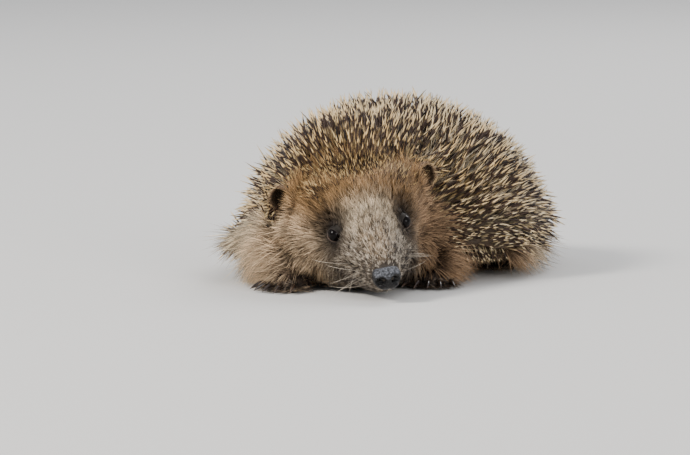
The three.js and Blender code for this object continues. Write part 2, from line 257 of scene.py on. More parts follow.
def coat_depth(points):
    """How far the skin lies under the tips of the coat."""
    behind, _, _ = head_measures(points)
    fur = 0.7 + 4.3 * smooth(10, 58, behind)
    spines = 5.5 + 6 * smooth(12, 42, points[:, 2])
    return fur + (spines - fur) * spiny(points)


# How far each ear sits below the middle of its node, and how far towards the animal's left.
EAR_SHIFT = {"left": (3.4, -1.9), "right": (1.8, 2.5)}
EAR_BED = 9.0  # radius of the ball of flesh that holds an ear
EAR_BED_BEHIND = 7  # how far behind the ear that ball has its middle
# Where the limbs join the body: the middles and radii of balls of flesh.
LIMB_BEDS = [
    ((32, -22, 24), (14, 16, 18)),
    ((-20, -38, 24), (16, 16, 18)),
    ((34, 33, 19), (14, 23, 13)),
    ((-34, 33, 19), (14, 23, 13)),
]


def ear_place(side):
    down, across = EAR_SHIFT[side]
    return middle("ear_" + side) - crown * down + left * across


def ball(centre, radii):
    shape = bmesh.new()
    bmesh.ops.create_icosphere(shape, subdivisions=3, radius=1)
    bmesh.ops.scale(shape, vec=Vector(radii) * MM, verts=shape.verts)
    bmesh.ops.translate(shape, vec=Vector(centre) * MM, verts=shape.verts)
    return shape


BODY_GRID = 1.4  # spacing of the points of the body before its limbs join
SKIN_GRID = 0.95  # spacing of the points of the whole skin
SINK_STEPS = 12
LID_THICKNESS = 0.8


def sink(mesh):
    """Draws the surface in by the depth of the coat, in steps that keep it smooth."""
    points, edges = points_of(mesh), edges_of(mesh)
    depth = coat_depth(points)[:, None] + 0.3
    for _ in range(40):
        depth = relax(depth, edges, 0.5)
    for _ in range(SINK_STEPS):
        points = points - normals_of(mesh) * depth / SINK_STEPS
        points = relax(points, edges, np.clip(0.04 + depth * 0.05, 0, 0.5))
        put_points(mesh, points)
    for _ in range(15):
        points = relax(points, edges, np.clip(depth * 0.06 - 0.1, 0, 0.5))
    put_points(mesh, points)


def build_flesh():
    """The body without its coat, and then the limbs, tail and lids on it."""
    shapes = [node_shape(node, 0.3) for node in BODY + ["eye_left", "eye_right"]]
    for side, sign in SIDES.items():
        bed = ear_place(side) - ear_axes(sign)[2] * EAR_BED_BEHIND
        shapes.append(ball(bed, [EAR_BED] * 3))
    shapes += [ball(centre, radii) for centre, radii in LIMB_BEDS]
    core = remeshed(gather(shapes), BODY_GRID)
    sink(core)
    body = bmesh.new()
    body.from_mesh(core)
    limbs = [node_shape(leg, -0.5) for leg in LEGS] + [node_shape(foot, 0) for foot in FEET]
    lids = [ball(centre, [EYE_RADIUS + LID_THICKNESS] * 3) for centre in eyes.values()]
    whole = remeshed(gather([body, node_shape("tail", -0.4)] + limbs + lids), SKIN_GRID)
    drop_specks(whole)
    points, edges = points_of(whole), edges_of(whole)
    for _ in range(4):
        points = relax(points, edges, 0.5)
    put_points(whole, points)
    return whole


# ---- The face on the skin ----

def refine(mesh, centre, radius):
    """Halves the edges near a point."""
    shape = bmesh.new()
    shape.from_mesh(mesh)
    centre = Vector(centre) * MM
    near = [e for e in shape.edges if all((v.co - centre).length < radius * MM for v in e.verts)]
    bmesh.ops.subdivide_edges(shape, edges=near, cuts=1, use_grid_fill=True)
    shape.to_mesh(mesh)
    shape.free()


def past_lids(points, side):
    """How far round the eyeball points lie past the lids' edge, in degrees, and how low they are."""
    outward = eye_outward(SIDES[side])
    length = unit(-forward - outward * (-forward @ outward) + 0.1 * crown)
    height = np.cross(outward, length) * SIDES[side]
    d = unit(points - eyes[side])
    round_eye = np.arctan2(d @ height, d @ length)
    corner = np.abs(np.cos(round_eye)) ** 5
    opening = 58 + 16 * corner - 13 * np.clip(np.sin(round_eye), 0, 1)
    return np.degrees(np.arccos(np.clip(d @ outward, -1, 1))) - opening, -(d @ height)


def shape_lids(points, side):
    """Draws the skin round the eyeball into two lids with a rim, and sinks it behind the open part."""
    past, _ = past_lids(points, side)
    d = points - eyes[side]
    r = np.linalg.norm(d, axis=1)
    rim = EYE_RADIUS - 0.5 + 0.85 * smooth(-3, 5, past) - 0.15 * bell(past - 15, 4)
    far = smooth(18, 52, past)
    wanted = rim * (1 - far) + r * far
    reach = smooth(8.5, 6.5, r)
    return points + unit(d) * ((wanted - r) * reach)[:, None]


def shape_mouth(points, normals):
    """Presses in the line of the mouth under the snout, and the skin under the nose pad."""
    behind, _, up = head_measures(points)
    line = up + 6.5 - 0.17 * behind
    groove = bell(line, 0.8) * smooth(25, 20, behind) * smooth(1, 3, behind)
    pad = inside(points, middle("nose"), (6.6, 6.6, 6.6))
    return points - normals * (0.9 * groove + 0.4 * pad)[:, None]


def build_skin():
    """The whole skin as one mesh, finer round the eyes and on the snout."""
    mesh = build_flesh()
    for centre in eyes.values():
        refine(mesh, centre, 8)
        refine(mesh, centre, 5.6)
    refine(mesh, on_head(10, 0, -5), 17)
    points = points_of(mesh)
    points = shape_mouth(points, normals_of(mesh))
    for side in SIDES:
        points = shape_lids(points, side)
    put_points(mesh, points)
    mesh.polygons.foreach_set("use_smooth", [True] * len(mesh.polygons))
    skin = into_scene("skin", mesh)
    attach(skin, "root")
    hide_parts("trunk", "neck", "head", "jaw", "tail", *LEGS, *FEET)
    return skin


def unwrap(piece):
    """Lays a piece's surface out flat, in its OFBake map."""
    piece.data.uv_layers.new(name="OFBake")
    bpy.context.view_layer.objects.active = piece
    piece.select_set(True)
    bpy.ops.object.mode_set(mode="EDIT")
    bpy.ops.mesh.select_all(action="SELECT")
    bpy.ops.uv.smart_project(angle_limit=math.radians(66), island_margin=0.002)
    bpy.ops.object.mode_set(mode="OBJECT")
    piece.select_set(False)


# ---- Markings and painted shade, the same on skin and coat ----

BEIGE = srgb(232, 214, 184)
GINGER = srgb(172, 140, 108)
FOREHEAD = srgb(156, 122, 82)
CHEEK = srgb(216, 188, 154)
BRIDGE = srgb(178, 149, 116)
MUZZLE = srgb(92, 80, 69)
# The colour of a painted highlight along the wet rims of the lids.
LID_RIM_HIGHLIGHT = srgb(122, 104, 92)
EYE_PATCH = srgb(44, 36, 31)
THROAT_AND_CHIN_SHADE = srgb(88, 72, 60)
BELLY = srgb(128, 108, 88)
LIMB = srgb(74, 60, 50)


def markings(points):
    """The colour of the animal at points, laid on in washes of paint, with painted shade among them under
    the chin and low on the snout's sides.
    """
    behind, aside, up = head_measures(points)
    height = points[:, 2]
    wide = np.abs(aside)
    colour = np.tile(BEIGE, (len(points), 1))

    def wash(paint, share):
        nonlocal colour
        share = np.reshape(np.clip(share, 0, 1), (-1, 1))
        colour = colour * (1 - share) + paint * share

    wash(BELLY, smooth(30, 18, height) * smooth(66, 80, behind))
    wash(GINGER, smooth(6, 20, aside) * smooth(75, 55, behind))
    wash(CHEEK, smooth(-8, -20, aside) * smooth(72, 50, behind))
    wash(FOREHEAD, smooth(24, 40, behind) * smooth(-4, 6, up) * smooth(40, 26, wide))
    wash(BRIDGE, 0.8 * bell(aside, 11) * smooth(38, 14, behind) * smooth(-2, 4, up))
    # Darker bands low on both sides of the snout: partly the fur's own darker colour, partly painted shade
    # on sides that face down, away from the light.
    side_line = 5 + 9 * np.clip((behind - 6) / 25, 0, 1)
    side_band = bell(wide - side_line, 5) * smooth(36, 28, behind)
    wash(MUZZLE, 0.85 * side_band * smooth(8, 3, up))
    wash(MUZZLE, smooth(8, 3, behind))
    # Under the chin: partly the throat's own darker fur, partly painted shade beneath the head.
    wash(THROAT_AND_CHIN_SHADE, smooth(-4, -9, up + 0.1 * behind) * smooth(30, 20, behind))
    for side, sign in SIDES.items():
        patch = eyes[side] + 1.3 * sign * left + 1.2 * crown - 0.5 * forward
        wash(EYE_PATCH, 0.97 * bell(away_from(patch, points), 8, power=3))
    for foot in FEET:
        away = np.linalg.norm((points - middle(foot)) / (13, 17, 3.2), axis=1)
        wash(LIMB, smooth(1.1, 0.8, away))
    return colour


def paint_skin(mesh):
    """The markings with painted shade, darkened as they show between hairs and darkest under the spines,
    and a painted highlight on the lids' rims.
    """
    points = points_of(mesh)
    # Painted shade: the skin is darkened to about a third of the markings' colour, and further under the
    # spines, as if shaded by the coat.
    colours = markings(points) * (0.35 - 0.22 * spiny(points))[:, None]
    for side, centre in eyes.items():
        past, low = past_lids(points, side)
        near = smooth(3.8, 3.4, away_from(centre, points))
        # Painted highlight: a paler crescent on the rim of each lid, strongest on the lower lid.
        edge = near * smooth(0, 2, past) * smooth(8, 5, past) * (0.05 + 0.6 * smooth(0.3, 0.75, low))
        colours += (LID_RIM_HIGHLIGHT - colours) * edge[:, None]
    keep_colours(mesh, "markings", colours)


# ---- Materials ----

def finish_of(name, roughness, **sockets):
    """A new material, with its nodes and links ready to add to."""
    material = bpy.data.materials.new(name)
    material.use_nodes = True
    tree = material.node_tree
    shader = tree.nodes["Principled BSDF"]
    shader.inputs["Roughness"].default_value = roughness
    for socket, value in sockets.items():
        shader.inputs[socket.replace("_", " ")].default_value = value
    return material, tree, shader


def node(tree, kind, **settings):
    """A new node; each setting goes to its input of that name, or to the node itself."""
    made = tree.nodes.new(kind)
    for key, value in settings.items():
        if key in made.inputs:
            made.inputs[key].default_value = value
        else:
            setattr(made, key, value)
    return made


def ramp(tree, source, stops):
    """A colour ramp through (place, grey or colour) stops."""
    made = tree.nodes.new("ShaderNodeValToRGB")
    tree.links.new(source, made.inputs["Fac"])
    for place, colour in stops[1:-1]:
        made.color_ramp.elements.new(place)
    for element, (place, colour) in zip(made.color_ramp.elements, stops):
        element.position = place
        element.color = (*np.broadcast_to(colour, 3), 1)
    return made.outputs["Color"]


def multiplied(tree, first, second):
    """The product of two colours."""
    made = node(tree, "ShaderNodeMix", data_type="RGBA", blend_type="MULTIPLY")
    made.inputs["Factor"].default_value = 1
    tree.links.new(first, made.inputs["A"])
    tree.links.new(second, made.inputs["B"])
    return made.outputs["Result"]


def grain(tree, scale, detail=3.0, stretch=(1, 1, 1)):
    """Noise on Object coordinates; scale counts its lumps along one metre."""
    place = node(tree, "ShaderNodeTexCoord")
    turn = node(tree, "ShaderNodeMapping", Scale=stretch)
    made = node(tree, "ShaderNodeTexNoise", Scale=scale, Detail=detail)
    tree.links.new(place.outputs["Object"], turn.inputs["Vector"])
    tree.links.new(turn.outputs["Vector"], made.inputs["Vector"])
    return made.outputs["Fac"]


def bump(tree, shader, height, depth, strength=0.6):
    """Makes the surface look rough; the depth is in millimetres."""
    made = node(tree, "ShaderNodeBump", Strength=strength, Distance=depth * MM)
    tree.links.new(height, made.inputs["Height"])
    tree.links.new(made.outputs["Normal"], shader.inputs["Normal"])


def attribute(tree, name, output="Color"):
    """What a mesh stores at its points under a name."""
    return node(tree, "ShaderNodeAttribute", attribute_name=name).outputs[output]


def skin_finish():
    material, tree, shader = finish_of("hide", 0.62, Specular_IOR_Level=0.3)
    lumps = ramp(tree, grain(tree, 900), [(0.25, 0.55), (0.75, 1.2)])
    colour = multiplied(tree, attribute(tree, "markings"), lumps)
    tree.links.new(colour, shader.inputs["Base Color"])
    bump(tree, shader, grain(tree, 2200, 4.0), 0.25)
    return material


def fur_finish():
    material, tree, shader = finish_of("fur_hair", 0.5, Specular_IOR_Level=0.15)
    # Painted shade: each hair is darkened towards its root, where it lies deep in the coat, and brightened
    # towards its tip.
    shaded_root_to_tip = [(0.0, 0.12), (0.35, 0.45), (0.7, 1.05), (1.0, 1.4)]
    shade = ramp(tree, attribute(tree, "along", "Fac"), shaded_root_to_tip)
    colour = multiplied(tree, attribute(tree, "tint"), shade)
    tree.links.new(colour, shader.inputs["Base Color"])
    return material


PALE = srgb(240, 214, 168)
BAND = srgb(64, 48, 40)


def spine_finish():
    material, tree, shader = finish_of("banded_spine", 0.45, Specular_IOR_Level=0.25)
    # Painted shade: the spine's pale base is darkened to about a third, where it lies deep in the coat.
    root = [(0.0, PALE * 0.35), (0.34, PALE * 0.6)]
    band = [(0.43, BAND), (0.7, BAND)]
    tip = [(0.77, PALE), (1.0, PALE * 0.9)]
    banded = ramp(tree, attribute(tree, "along", "Fac"), root + band + tip)
    colour = multiplied(tree, banded, attribute(tree, "tint"))
    tree.links.new(colour, shader.inputs["Base Color"])
    return material


def eye_finish():
    material, tree, shader = finish_of("eye_gloss", 0.04, IOR=1.36, Specular_IOR_Level=0.2)
    depth = ramp(tree, grain(tree, 700), [(0.3, srgb(6, 4, 4)), (0.8, srgb(16, 10, 8))])
    tree.links.new(depth, shader.inputs["Base Color"])
    return material


def nose_finish():
    material, tree, shader = finish_of("nose_leather", 0.3, Specular_IOR_Level=0.25)
    pebbles = node(tree, "ShaderNodeTexVoronoi", Scale=1300)
    place = node(tree, "ShaderNodeTexCoord")
    tree.links.new(place.outputs["Object"], pebbles.inputs["Vector"])
    dust = ramp(tree, grain(tree, 1100), [(0.35, 0.5), (0.65, 1.5)])
    colour = multiplied(tree, attribute(tree, "markings"), dust)
    cracks = ramp(tree, pebbles.outputs["Distance"], [(0.2, 1.2), (0.75, 0.3)])
    colour = multiplied(tree, colour, cracks)
    tree.links.new(colour, shader.inputs["Base Color"])
    rough = ramp(tree, attribute(tree, "dusty", "Fac"), [(0.0, 0.24), (1.0, 0.7)])
    tree.links.new(rough, shader.inputs["Roughness"])
    bump(tree, shader, ramp(tree, pebbles.outputs["Distance"], [(0.1, 1.0), (0.8, 0.0)]), 0.3, 0.9)
    return material


def ear_finish():
    material, tree, shader = finish_of("ear_skin", 0.65, Specular_IOR_Level=0.15)
    mottle = ramp(tree, grain(tree, 600), [(0.3, 0.7), (0.75, 1.25)])
    colour = multiplied(tree, attribute(tree, "markings"), mottle)
    tree.links.new(colour, shader.inputs["Base Color"])
    bump(tree, shader, grain(tree, 1800), 0.2)
    return material


def claw_finish():
    material, tree, shader = finish_of("claw_horn", 0.22, Coat_Weight=0.3)
    base_to_tip = [(0.0, srgb(34, 26, 22)), (0.7, srgb(46, 35, 29)), (1.0, srgb(92, 74, 60))]
    colour = ramp(tree, attribute(tree, "along", "Fac"), base_to_tip)
    streaks = ramp(tree, grain(tree, 1500, 2.0, (1, 0.2, 1)), [(0.3, 0.7), (0.7, 1.2)])
    tree.links.new(multiplied(tree, colour, streaks), shader.inputs["Base Color"])
    return material


# ---- Eyes, nose, ears and claws ----

def as_piece(name, shape, material, replaced=()):
    """Turns a bmesh made in millimetres into a piece that rides with the body."""
    mesh = bpy.data.meshes.new(name)
    bmesh.ops.scale(shape, vec=Vector((MM, MM, MM)), verts=shape.verts)
    shape.to_mesh(mesh)
    shape.free()
    mesh.polygons.foreach_set("use_smooth", [True] * len(mesh.polygons))
    mesh.materials.append(material)
    piece = into_scene(name, mesh)
    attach(piece, "root")
    if replaced:
        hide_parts(*replaced)
    return piece


def place_on(shape, centre, axes):
    """Turns a shape's x, y and z to three directions and moves it to its centre."""
    turned = np.array([vert.co for vert in shape.verts]) @ np.array(axes) + centre
    for vert, co in zip(shape.verts, turned):
        vert.co = co


def build_eye(side, material):
    """An eyeball that bulges a little at the front."""
    shape = bmesh.new()
    bmesh.ops.create_uvsphere(shape, u_segments=40, v_segments=24, radius=EYE_RADIUS)
    for vert in shape.verts:
        vert.co.z += 0.18 * max(0, vert.co.z / EYE_RADIUS) ** 4
    outward = eye_outward(SIDES[side])
    across = unit(np.cross(crown, outward))
    place_on(shape, eyes[side], [across, np.cross(outward, across), outward])
    as_piece("eyeball_" + side, shape, material, ["eye_" + side])


# Each nostril is a pit and the slit that runs out of it: place across, over and ahead, width, depth.
NOSTRIL = [((2.7, 0.8, 4.4), 1.45, 2.8), ((3.9, 0.3, 3.8), 1.2, 2.0), ((4.8, -0.8, 2.8), 1.0, 1.6)]
NOSTRIL_RIM = (3.2, 0.5, 4.2)  # the middle of the raised ring round each nostril
RIM_RADIUS = 2.1
DEEPEST = 2.1  # a nostril goes no deeper than this
PAD_ROUNDNESS = 2.6  # 2 would make the pad an oval, more makes it a box


def build_nose(material):
    """The nose pad: a rounded block with two comma-shaped nostrils and a groove between them."""
    shape = bmesh.new()
    bmesh.ops.create_uvsphere(shape, u_segments=96, v_segments=64, radius=1)
    p = np.array([vert.co for vert in shape.verts])
    boxy = p / (np.abs(p) ** PAD_ROUNDNESS).sum(axis=1, keepdims=True) ** (1 / PAD_ROUNDNESS)
    across, over, ahead = boxy.T
    wide = 5.5 - 0.7 * smooth(0, 1, -over)
    thick = 4.3 - 1.6 * smooth(0.4, -0.6, ahead)
    p = np.stack([across * wide, over * thick, ahead * 4.9 - 0.5 * over], axis=1)
    sunk, rims = np.zeros(len(p)), np.zeros(len(p))
    for sign in SIDES.values():
        for spot, size, depth in NOSTRIL:
            sunk += depth * bell(away_from(np.array(spot) * (sign, 1, 1), p), size)
        rims += bell(away_from(np.array(NOSTRIL_RIM) * (sign, 1, 1), p) - RIM_RADIUS, 0.7)
    x, y, z = p.T
    groove = 0.35 * bell(x, 0.5) * smooth(1.5, -1, y) * smooth(1, 3, z)
    sunk = np.minimum(sunk, DEEPEST) + groove
    p = p + unit(p) * (0.22 * rims - sunk)[:, None]
    for vert, co in zip(shape.verts, p):
        vert.co = co
    place_on(shape, middle("nose"), [left, crown, forward])
    pad = as_piece("nose_pad", shape, material, ["nose"])
    dusty = smooth(1.0, 3.2, p[:, 1]) * smooth(0.5, 0.05, sunk)
    wet, dust = srgb(15, 12, 12), srgb(95, 97, 103)
    keep_colours(pad.data, "markings", wet + (dust - wet) * dusty[:, None])
    keep_values(pad.data, "dusty", dusty)


EAR_CUP = (5.4, 6.3, 4.4)  # half the width, half the height and the depth of an ear
EAR_AHEAD = 1.6  # how far an ear's rim stands out from the ear's place
EAR_THICKNESS = 0.9


def build_ear(side, material):
    """A short, rounded ear: a cup with a soft rim that leans back in the fur."""
    sign = SIDES[side]
    axes = ear_axes(sign)
    shape = bmesh.new()
    bmesh.ops.create_uvsphere(shape, u_segments=48, v_segments=24, radius=1)
    bmesh.ops.bisect_plane(
        shape, geom=shape.verts[:] + shape.edges[:] + shape.faces[:],
        plane_co=(0, 0, 0.2), plane_no=(0, 0, 1), clear_outer=True,
    )
    bmesh.ops.scale(shape, vec=EAR_CUP, verts=shape.verts)
    for vert in shape.verts:
        flare = smooth(-2, 1, vert.co.z)
        vert.co.x *= 1 + 0.06 * flare
        vert.co.z += 0.5 * flare * math.sin(3 * math.atan2(vert.co.y, vert.co.x) + sign)
    bmesh.ops.recalc_face_normals(shape, faces=shape.faces)
    bmesh.ops.solidify(shape, geom=shape.faces[:], thickness=EAR_THICKNESS)
    for _ in range(3):
        bmesh.ops.smooth_vert(
            shape, verts=shape.verts, factor=0.4,
            use_axis_x=True, use_axis_y=True, use_axis_z=True,
        )
    rim = smooth(-1.8, 0.4, np.array([vert.co.z for vert in shape.verts]))
    place_on(shape, ear_place(side) + axes[2] * EAR_AHEAD, axes)
    bmesh.ops.recalc_face_normals(shape, faces=shape.faces)
    ear = as_piece("ear_cup_" + side, shape, material, ["ear_" + side])
    # Painted shade: the ear is near-black deep in its hollow and grades to a paler brown at the rim.
    dark, edge = srgb(13, 10, 8), srgb(104, 84, 68)
    keep_colours(ear.data, "markings", dark + (edge - dark) * rim[:, None])
    unwrap(ear)
    return ear


EAR_HAIRS = 1500


def grow_ear_fuzz(side, ear, material):
    """Short pale hair round the rim of an ear."""
    surface = Surface(ear.data)
    axes, centre = ear_axes(SIDES[side]), ear_place(side)
    ahead = (surface.centres - centre) @ axes[2]
    outer = (surface.facing * (surface.centres - centre)).sum(axis=1) > 0
    bed = surface.scatter(EAR_HAIRS, outer * smooth(-3, -0.5, ahead))
    way = unit(bed[0] - centre) + 0.3 * axes[2] - 0.15 * forward
    tint = srgb(190, 160, 126) * uneven(EAR_HAIRS, 0.4, 1.3)[:, None]
    length, rise = uneven(EAR_HAIRS, 1.6, 3.2), uneven(EAR_HAIRS, 0.3, 0.8)
    grow("ear_fuzz_" + side, bed, way, length, 0.06, rise, HAIR, tint, material)


CLAW_BASE, CLAW_POINT = 1.15, 0.12  # radii of a claw at its two ends


def build_claws(limb, material):
    """Five curved claws, flattened at the sides, each at its own toe."""
    foot = middle(limb.replace("_", "foot_"))
    whole = bmesh.new()
    mesh = bpy.data.meshes.new("claw")
    nodes = [limb.replace("_", "claw_") + f"_{i}" for i in range(1, 6)]
    for name in nodes:
        points = points_of(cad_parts[name].data)
        away = away_from(foot, points)
        tip = points[away.argmax()]
        base = points[away < away.min() + 1.5].mean(axis=0)
        ahead = unit(np.array((tip[0] - base[0], tip[1] - base[1], 0)))
        length = np.linalg.norm(tip[:2] - base[:2])
        claw = bmesh.new()
        bmesh.ops.create_cone(
            claw, cap_ends=True, segments=10, radius1=CLAW_BASE, radius2=CLAW_POINT, depth=1,
        )
        long_edges = [e for e in claw.edges if abs(e.verts[0].co.z - e.verts[1].co.z) > 0.5]
        bmesh.ops.subdivide_edges(claw, edges=long_edges, cuts=7)
        for vert in claw.verts:
            t = vert.co.z + 0.5
            full = (1 - t ** 1.6) * 0.88 + 0.12
            size = full / max(1 - 0.88 * t, 0.05)
            across, over = vert.co.x * size * 0.85, vert.co.y * size * 1.15
            vert.co = (across, (t * 1.12 - 0.12) * length, over + 0.55 - 0.5 * length * t * t * 0.75)
        side = np.cross(ahead, (0, 0, 1))
        place_on(claw, base, [side, ahead, (0, 0, 1)])
        lift = max(0, 0.1 - min(vert.co.z for vert in claw.verts))
        for vert in claw.verts:
            reach = (vert.co.x - base[0]) * ahead[0] + (vert.co.y - base[1]) * ahead[1]
            vert.co.z += lift * smooth(0, length, reach)
        claw.to_mesh(mesh)
        claw.free()
        whole.from_mesh(mesh)
    bmesh.ops.recalc_face_normals(whole, faces=whole.faces)
    piece = as_piece("claws_" + limb, whole, material, nodes)
    away = away_from(foot, points_of(piece.data))
    keep_values(piece.data, "along", smooth(away.min(), away.max(), away))


# ---- The coat ----

class Surface:
    """A mesh to grow hair on: its triangles, and what holds at their corners."""

    def __init__(self, mesh):
        mesh.calc_loop_triangles()
        count = len(mesh.loop_triangles)
        corners, loops = np.empty(count * 3, np.int32), np.empty(count * 3, np.int32)
        mesh.loop_triangles.foreach_get("vertices", corners)
        mesh.loop_triangles.foreach_get("loops", loops)
        self.corners = corners.reshape(-1, 3)
        self.points = points_of(mesh)
        self.normals = normals_of(mesh)
        flat = np.empty(len(mesh.loops) * 2, np.float32)
        mesh.uv_layers["OFBake"].data.foreach_get("uv", flat)
        self.flat = flat.reshape(-1, 2)[loops.reshape(-1, 3)]
        a, b, c = (self.points[self.corners[:, k]] for k in range(3))
        self.area = np.linalg.norm(np.cross(b - a, c - a), axis=1) / 2
        self.centres = (a + b + c) / 3
        self.facing = unit(np.cross(b - a, c - a))
        self.tree = kdtree.KDTree(len(self.points))
        for i, place in enumerate(self.points):
            self.tree.insert(place, i)
        self.tree.balance()

    def scatter(self, count, weight):
        """A bed to grow hair on: roots, the normals there, and their places in the flat map."""
        odds = self.area * weight
        faces = chance.choice(len(odds), count, p=odds / odds.sum())
        u, v = chance.random((2, count))
        turn = u + v > 1
        u, v = np.where(turn, 1 - u, u), np.where(turn, 1 - v, v)
        share = np.stack([1 - u - v, u, v], axis=1)[:, :, None]
        roots = (self.points[self.corners[faces]] * share).sum(axis=1)
        normals = unit((self.normals[self.corners[faces]] * share).sum(axis=1))
        return roots, normals, (self.flat[faces] * share).sum(axis=1)

    def cleared(self, roots, normals, lie, length, rise, clearance):
        """Lifts the strands whose tips would come closer to the skin than the clearance."""
        for _ in range(2):
            way = lie * np.cos(rise)[:, None] + normals * np.sin(rise)[:, None]
            tips = roots + way * length[:, None]
            near = np.array([self.tree.find(tip)[1] for tip in tips])
            gap = ((tips - self.points[near]) * self.normals[near]).sum(axis=1)
            rise = rise + np.clip((clearance - gap) / length, 0, 0.6)
        return np.minimum(rise, 1.05)


AROUND = [(x, y, z) for x in (-1, 0, 1) for y in (-1, 0, 1) for z in (-1, 0, 1)]


def spread_out(points, spacing):
    """Picks points that keep a distance from each other."""
    cells = {}
    kept = []
    for i, (place, cell) in enumerate(zip(points, np.floor(points / spacing).astype(int))):
        x, y, z = cell
        near = (k for dx, dy, dz in AROUND for k in cells.get((x + dx, y + dy, z + dz), ()))
        if all(((points[k] - place) ** 2).sum() > spacing ** 2 for k in near):
            cells.setdefault((x, y, z), []).append(i)
            kept.append(i)
    return np.array(kept)


def along_skin(way, normals):
    """Directions turned to run along the surface."""
    return unit(way - normals * (way * normals).sum(axis=1, keepdims=True))


def lie_of_coat(points, normals):
    """The way the coat lies: back from the nose, hanging a little on the flanks, down the legs."""
    away = unit(points - (nose_tip + forward * 4))
    droop = 0.55 * smooth(46, 14, points[:, 2]) * smooth(30, 60, (points - nose_tip) @ -forward)
    way = away + np.outer(droop, (0, 0, -1)) + np.outer(smooth(-20, 60, points[:, 1]), (0, 0.6, 0))
    return along_skin(way, normals)


def in_locks(roots, lie, per_lock, pull, size):
    """Turns each hair towards the end of its lock, and tells which lock that is."""
    heads = roots[chance.choice(len(roots), max(1, len(roots) // per_lock), replace=False)]
    tree = kdtree.KDTree(len(heads))
    for i, place in enumerate(heads):
        tree.insert(place, i)
    tree.balance()
    lock = np.array([tree.find(place)[1] for place in roots])
    goal = heads[lock] - roots
    return unit(lie + pull * goal / np.reshape(size, (-1, 1))), lock


# How strands taper: (share of the length, share of the radius) at each ring, down to the tip.
SPINE_SHAPE = [(0, 0.5), (0.2, 0.9), (0.55, 1), (0.82, 0.66), (1, 0)]
HAIR_SHAPE = [(0, 1), (0.5, 0.85), (1, 0)]
WHISKER_SHAPE = [(0, 1), (0.2, 0.95), (0.4, 0.8), (0.6, 0.6), (0.8, 0.4), (1, 0)]
# The number of sides of each kind of strand, and its taper.
SPINE, HAIR, WHISKER = (4, SPINE_SHAPE), (3, HAIR_SHAPE), (4, WHISKER_SHAPE)
FLOOR_CLEARANCE = 0.3  # hair that would reach the floor is bent to lie this far above it
ROOT_DEPTH = 0.35  # how deep in the skin a strand starts
BAKE_PATCH = 0.003  # the share of the flat map's side that one strand takes up


def strand_faces(sides, ring_count):
    """The triangles of one strand: a cap at its root, bands between its rings, and its tip."""
    faces = [(0, j + 1, j) for j in range(1, sides - 1)]
    for r in range(ring_count - 1):
        for j in range(sides):
            a, b = r * sides + j, r * sides + (j + 1) % sides
            faces += [(a, b, a + sides), (b, b + sides, a + sides)]
    last = (ring_count - 1) * sides
    faces += [(last + j, last + (j + 1) % sides, ring_count * sides) for j in range(sides)]
    return np.array(faces)


def strand_points(bed, lie, length, radius, rise, kind, curl):
    """Where the points of each strand are; the strand curls as it rises from its bed."""
    roots, normals, _ = bed
    sides, profile = kind
    count = len(roots)
    length, radius, rise = (np.broadcast_to(value, count).astype(float) for value in (length, radius, rise))
    lie = along_skin(lie, normals)
    across = np.cross(normals, lie)
    place = roots - normals * ROOT_DEPTH
    rings, reached = [], 0
    for share, width in profile:
        angle = rise * (1 + curl * (1 - 2 * share))
        along = lie * np.cos(angle)[:, None] + normals * np.sin(angle)[:, None]
        place = place + along * (length * (share - reached))[:, None]
        reached = share
        over = np.cross(along, across)
        if share < 1:
            for j in range(sides):
                turn = 2 * math.pi * (j + 0.25) / sides
                out = across * math.cos(turn) + over * math.sin(turn)
                rings.append(place + out * (radius * width)[:, None])
    points = np.stack(rings + [place], axis=1)
    low = points[:, :, 2].min(axis=1)
    drop = np.maximum(roots[:, 2] - low, 1e-6)
    keep = np.clip((roots[:, 2] - FLOOR_CLEARANCE) / drop, 0, 1)
    points[:, :, 2] = roots[:, 2, None] + (points[:, :, 2] - roots[:, 2, None]) * keep[:, None]
    return points


def grow(name, bed, lie, length, radius, rise, kind, tint, material, curl=0.5, shift=0):
    """Tapered strands on a bed, as one mesh of small closed solids."""
    sides, profile = kind
    ring_count = len(profile) - 1
    each = ring_count * sides + 1
    points = strand_points(bed, lie, length, radius, rise, kind, curl)
    faces = strand_faces(sides, ring_count)
    count = len(points)
    corners = (faces[None] + (np.arange(count) * each)[:, None, None]).reshape(-1)
    mesh = bpy.data.meshes.new(name)
    mesh.vertices.add(count * each)
    mesh.vertices.foreach_set("co", (points * MM).astype(np.float32).ravel())
    mesh.loops.add(len(corners))
    mesh.loops.foreach_set("vertex_index", corners.astype(np.int32))
    mesh.polygons.add(len(corners) // 3)
    mesh.polygons.foreach_set("loop_start", np.arange(0, len(corners), 3, dtype=np.int32))
    mesh.polygons.foreach_set("use_smooth", np.ones(len(corners) // 3, bool))
    mesh.update(calc_edges=True)
    along = np.append(np.repeat([share for share, _ in profile[:-1]], sides), 1.0)
    keep_values(mesh, "along", (along[None] + np.broadcast_to(shift, count)[:, None]).ravel())
    keep_colours(mesh, "tint", np.repeat(tint, each, axis=0))
    round_strand = np.append(np.tile((np.arange(sides) + 0.5) / sides, ring_count), 0.5)
    patch = np.stack([round_strand, along], axis=1) - 0.5
    at_points = (bed[2][:, None, :] + patch[None] * BAKE_PATCH).reshape(-1, 2)
    mesh.uv_layers.new(name="OFBake").data.foreach_set("uv", at_points[corners].astype(np.float32).ravel())
    mesh.materials.append(material)
    piece = into_scene(name, mesh)
    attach(piece, "root")


def uneven(count, least, most):
    """Random numbers in a range, one for each strand."""
    return chance.uniform(least, most, count)


def turned(lie, normals, angle):
    """Swings directions round the surface's normal."""
    return lie * np.cos(angle)[:, None] + np.cross(normals, lie) * np.sin(angle)[:, None]


